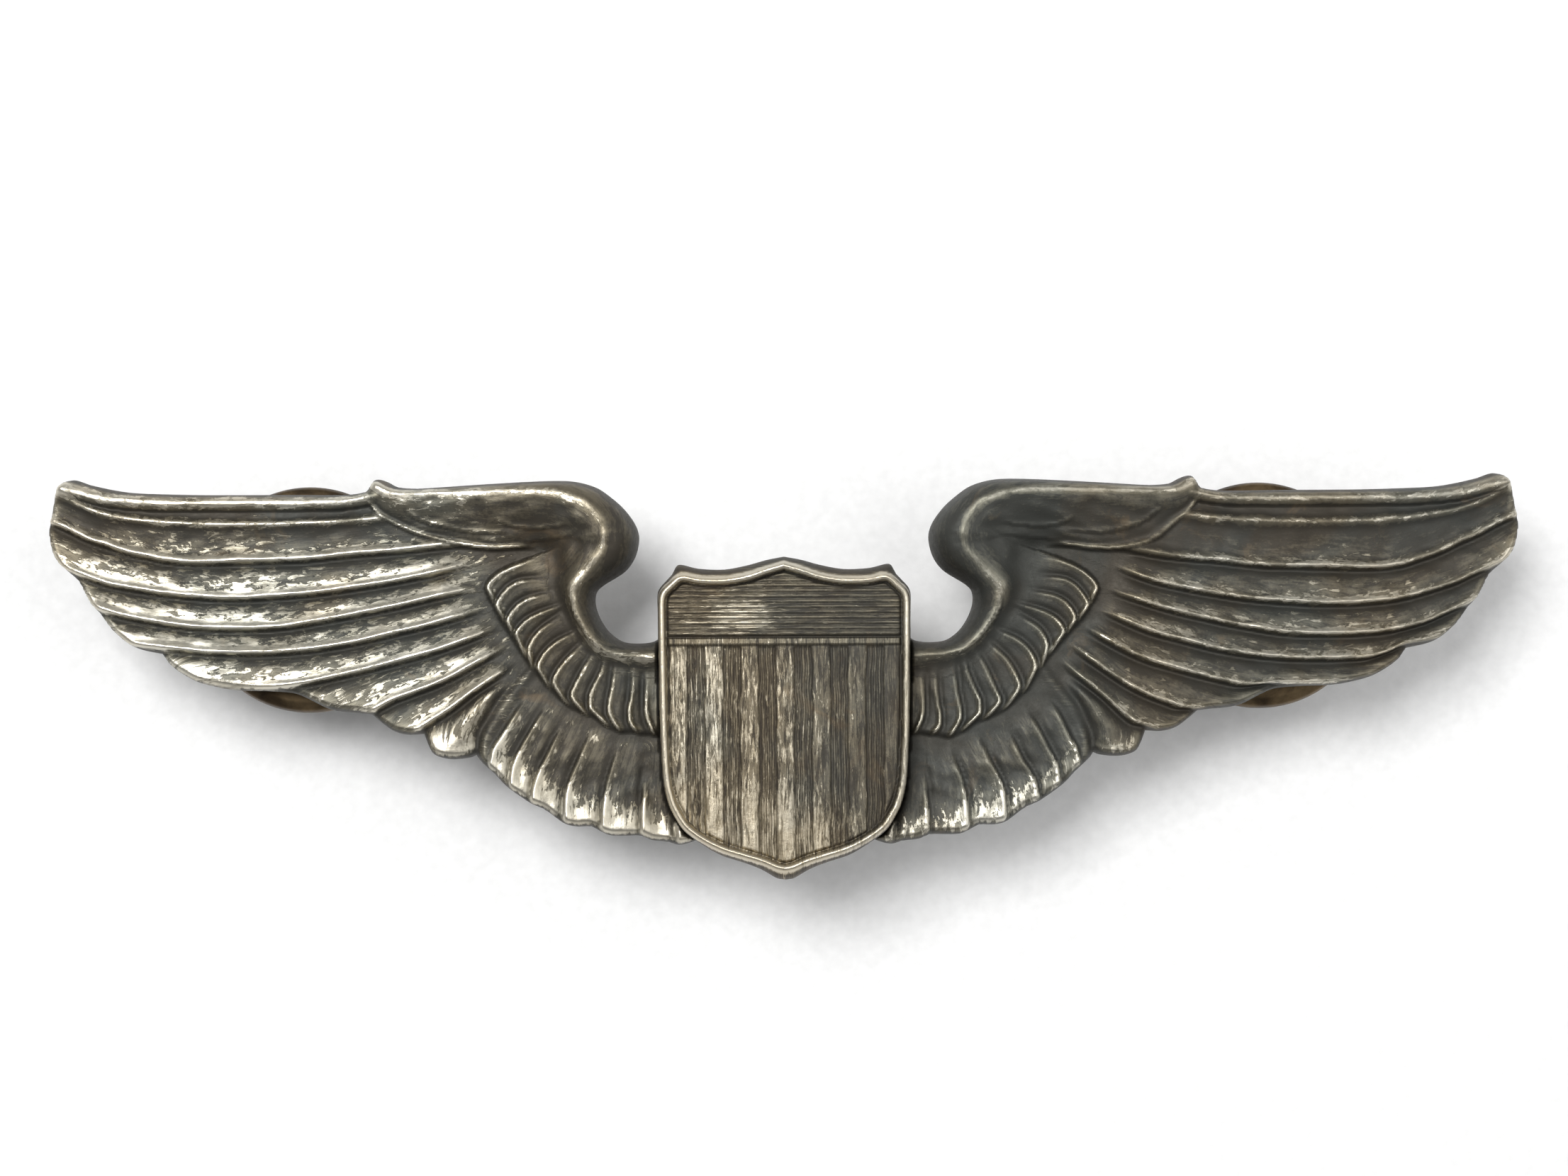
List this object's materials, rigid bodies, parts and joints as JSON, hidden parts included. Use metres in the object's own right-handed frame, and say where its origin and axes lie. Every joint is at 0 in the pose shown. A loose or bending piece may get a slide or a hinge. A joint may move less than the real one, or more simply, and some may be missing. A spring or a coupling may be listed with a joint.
{
  "type": "pilot wings pin",
  "caption": "Pilot wings badge pin: feathered wings spread from a striped shield, held on by posts and sprung push-on clutches behind.",
  "frame": {"origin": "bottom centre of the bounding box, level with the undersides of the finger tabs", "axes": "+X along the wingspan to the wearer's left as seen from the front, +Y towards the wing tops, +Z out of the badge's face"},
  "size_m": [0.0762, 0.0208, 0.0107],
  "materials": {
    "wing_silver": "worn silver, bright on the feather rims and dark tarnish in the hollows",
    "shield_silver": "silver with an even brown-grey tarnish, rubbed bright on the bead",
    "post_metal": "drawn wire, slightly dull",
    "clutch_brass": "plated brass, browned with age, dark at the rim",
    "spring_metal": "spring sheet, satin"
  },
  "bodies": {
    "badge": {"wing_plate": "wing_silver", "shield": "shield_silver", "post_pad_left": "post_metal", "post_pad_right": "post_metal", "post_left": "post_metal", "post_right": "post_metal"},
    "eyelet_left": {"clutch_eyelet_left": "clutch_brass"},
    "clutch_left": {"clutch_disc_left": "clutch_brass", "clutch_saddle_left": "clutch_brass", "clutch_spring_left": "spring_metal"},
    "upper_tab_left": {"tab_upper_left": "clutch_brass"},
    "lower_tab_left": {"tab_lower_left": "clutch_brass"},
    "eyelet_right": {"clutch_eyelet_right": "clutch_brass"},
    "clutch_right": {"clutch_disc_right": "clutch_brass", "clutch_saddle_right": "clutch_brass", "clutch_spring_right": "spring_metal"},
    "upper_tab_right": {"tab_upper_right": "clutch_brass"},
    "lower_tab_right": {"tab_lower_right": "clutch_brass"}
  },
  "joints": [
    {"name": "clutch_pull_left", "type": "slide", "parent": "badge", "child": "eyelet_left", "axis": [0, 0, -1], "range_m": [0, 0.0075]},
    {"name": "clutch_turn_left", "type": "hinge", "parent": "eyelet_left", "child": "clutch_left", "pos_m": [-0.025, 0.00419, 0.006], "axis": [0, 0, 1], "continuous": true},
    {"name": "squeeze_upper_left", "type": "hinge", "parent": "clutch_left", "child": "upper_tab_left", "pos_m": [-0.025, 0.00609, 0.003], "axis": [-1, 0, 0], "range_deg": [0, 12], "stiffness_Nm_per_rad": 0.02},
    {"name": "squeeze_lower_left", "type": "hinge", "parent": "clutch_left", "child": "lower_tab_left", "pos_m": [-0.025, 0.00229, 0.003], "axis": [1, 0, 0], "range_deg": [0, 12], "stiffness_Nm_per_rad": 0.02},
    {"name": "clutch_pull_right", "type": "slide", "parent": "badge", "child": "eyelet_right", "axis": [0, 0, -1], "range_m": [0, 0.0075]},
    {"name": "clutch_turn_right", "type": "hinge", "parent": "eyelet_right", "child": "clutch_right", "pos_m": [0.025, 0.00419, 0.006], "axis": [0, 0, 1], "continuous": true},
    {"name": "squeeze_upper_right", "type": "hinge", "parent": "clutch_right", "child": "upper_tab_right", "pos_m": [0.025, 0.00609, 0.003], "axis": [-1, 0, 0], "range_deg": [0, 12], "stiffness_Nm_per_rad": 0.02},
    {"name": "squeeze_lower_right", "type": "hinge", "parent": "clutch_right", "child": "lower_tab_right", "pos_m": [0.025, 0.00229, 0.003], "axis": [1, 0, 0], "range_deg": [0, 12], "stiffness_Nm_per_rad": 0.02}
  ]
}
